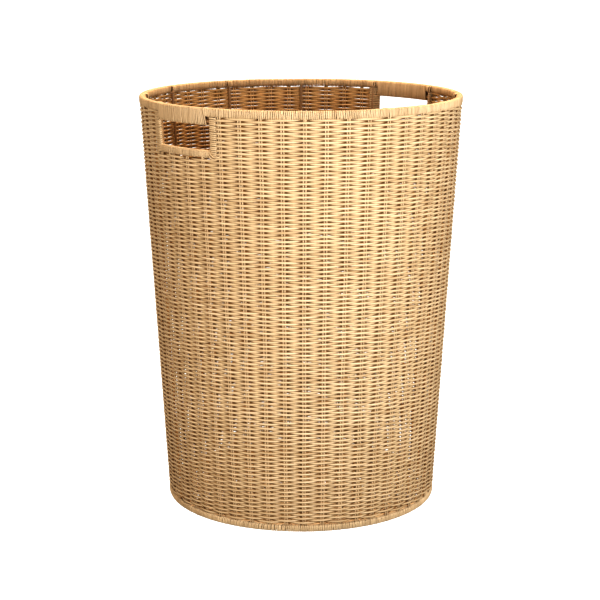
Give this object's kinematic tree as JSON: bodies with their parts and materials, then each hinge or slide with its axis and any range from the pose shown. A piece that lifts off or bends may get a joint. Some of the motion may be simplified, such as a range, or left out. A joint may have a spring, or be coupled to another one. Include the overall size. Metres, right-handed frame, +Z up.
{
  "type": "woven laundry basket",
  "caption": "Tall round woven laundry basket, open at the top, tapering slightly to the foot, with a lashed rim and foot and a rectangular hand hole on each of two opposite sides.",
  "frame": {"origin": "centre of the foot, on the surface the basket stands on", "axes": "+Z up through the mouth, along the basket's height; the hand holes face -X and +X"},
  "size_m": [0.391, 0.391, 0.5],
  "materials": {
    "weave_strand": "satin honey-coloured plastic rattan strand, woven over and under in rows",
    "lashing_strand": "satin honey-coloured plastic rattan strand, wound closely round the edges",
    "stake_strand": "satin honey-coloured plastic rattan strand, upright pairs",
    "frame_wire": "satin tan powder coat on steel wire"
  },
  "bodies": {
    "root": {"rim_hoop": "frame_wire", "foot_hoop": "frame_wire", "hub_ring": "frame_wire", "frame_rod_1": "frame_wire", "frame_rod_2": "frame_wire", "frame_rod_3": "frame_wire", "frame_rod_4": "frame_wire", "frame_rod_5": "frame_wire", "frame_rod_6": "frame_wire", "frame_rod_7": "frame_wire", "frame_rod_8": "frame_wire", "frame_rod_9": "frame_wire", "frame_rod_10": "frame_wire", "frame_rod_11": "frame_wire", "frame_rod_12": "frame_wire", "floor_spoke_1": "frame_wire", "floor_spoke_2": "frame_wire", "floor_spoke_3": "frame_wire", "floor_spoke_4": "frame_wire", "floor_spoke_5": "frame_wire", "floor_spoke_6": "frame_wire", "floor_spoke_7": "frame_wire", "floor_spoke_8": "frame_wire", "floor_spoke_9": "frame_wire", "floor_spoke_10": "frame_wire", "floor_spoke_11": "frame_wire", "floor_spoke_12": "frame_wire", "grip_bar_left": "frame_wire", "grip_bar_right": "frame_wire", "sill_bar_left": "frame_wire", "sill_bar_right": "frame_wire", "bay_stakes_1": "stake_strand", "bay_stakes_2": "stake_strand", "bay_stakes_3": "stake_strand", "bay_stakes_4": "stake_strand", "bay_stakes_5": "stake_strand", "bay_stakes_6": "stake_strand", "bay_stakes_7": "stake_strand", "bay_stakes_8": "stake_strand", "bay_stakes_9": "stake_strand", "bay_stakes_10": "stake_strand", "bay_stakes_11": "stake_strand", "bay_stakes_12": "stake_strand", "floor_stakes": "stake_strand", "wall_weave": "weave_strand", "front_weave": "weave_strand", "back_weave": "weave_strand", "floor_weave": "weave_strand", "rim_wrap_front": "lashing_strand", "rim_wrap_back": "lashing_strand", "foot_wrap": "lashing_strand", "grip_wrap_left": "lashing_strand", "grip_wrap_right": "lashing_strand", "sill_wrap_left": "lashing_strand", "sill_wrap_right": "lashing_strand", "post_wrap_right_back": "lashing_strand", "post_wrap_left_back": "lashing_strand", "post_wrap_left_front": "lashing_strand", "post_wrap_right_front": "lashing_strand"}
  },
  "joints": []
}
